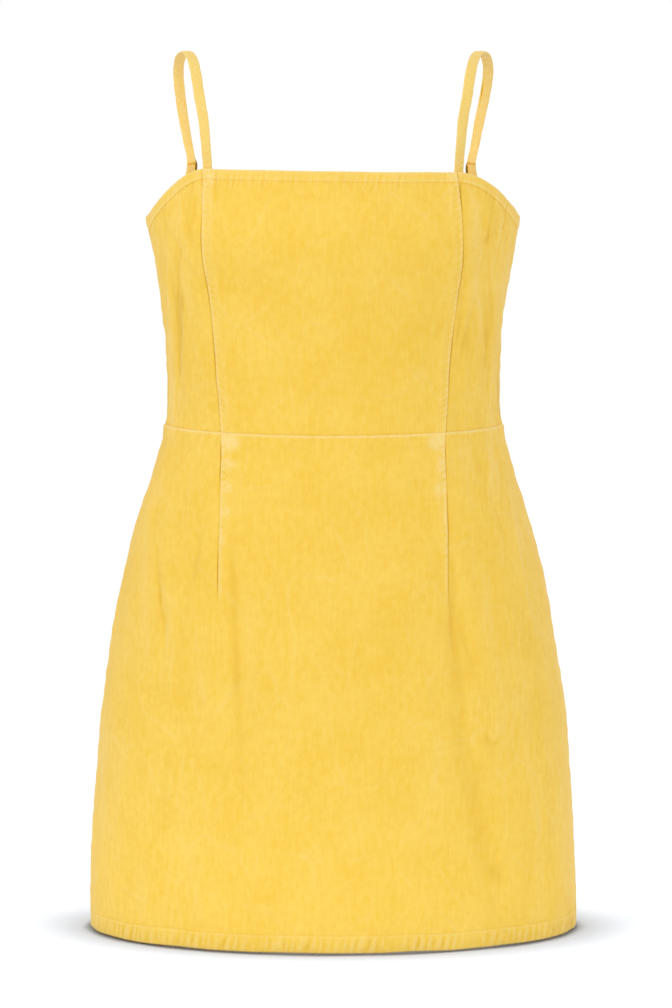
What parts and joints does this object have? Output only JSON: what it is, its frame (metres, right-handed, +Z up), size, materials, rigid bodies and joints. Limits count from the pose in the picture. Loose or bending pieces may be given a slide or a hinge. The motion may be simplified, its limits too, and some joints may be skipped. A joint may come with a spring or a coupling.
{
  "type": "square-neck mini dress",
  "caption": "Fitted sleeveless mini dress in yellow needlecord: square neck, thin straps, princess seams, waist seam, darted A-line skirt, filled out as worn and hollow inside.",
  "frame": {"origin": "midway between the crests of the two shoulder straps, at the level of their undersides, where the wearer's shoulders hold the dress", "axes": "+Z up, front of the dress towards -Y, wearer's left towards +X"},
  "size_m": [0.4182, 0.269, 0.7512],
  "materials": {
    "needlecord": "garment-dyed fine needlecord, brushed pile with a soft sheen, paler where worn along the seams"
  },
  "bodies": {
    "root": {"bodice_front_centre": "needlecord", "bodice_front_side_left": "needlecord", "bodice_front_side_right": "needlecord", "bodice_back_left": "needlecord", "bodice_back_right": "needlecord", "skirt_front": "needlecord", "skirt_back_left": "needlecord", "skirt_back_right": "needlecord", "strap_left": "needlecord", "strap_right": "needlecord"}
  },
  "joints": []
}
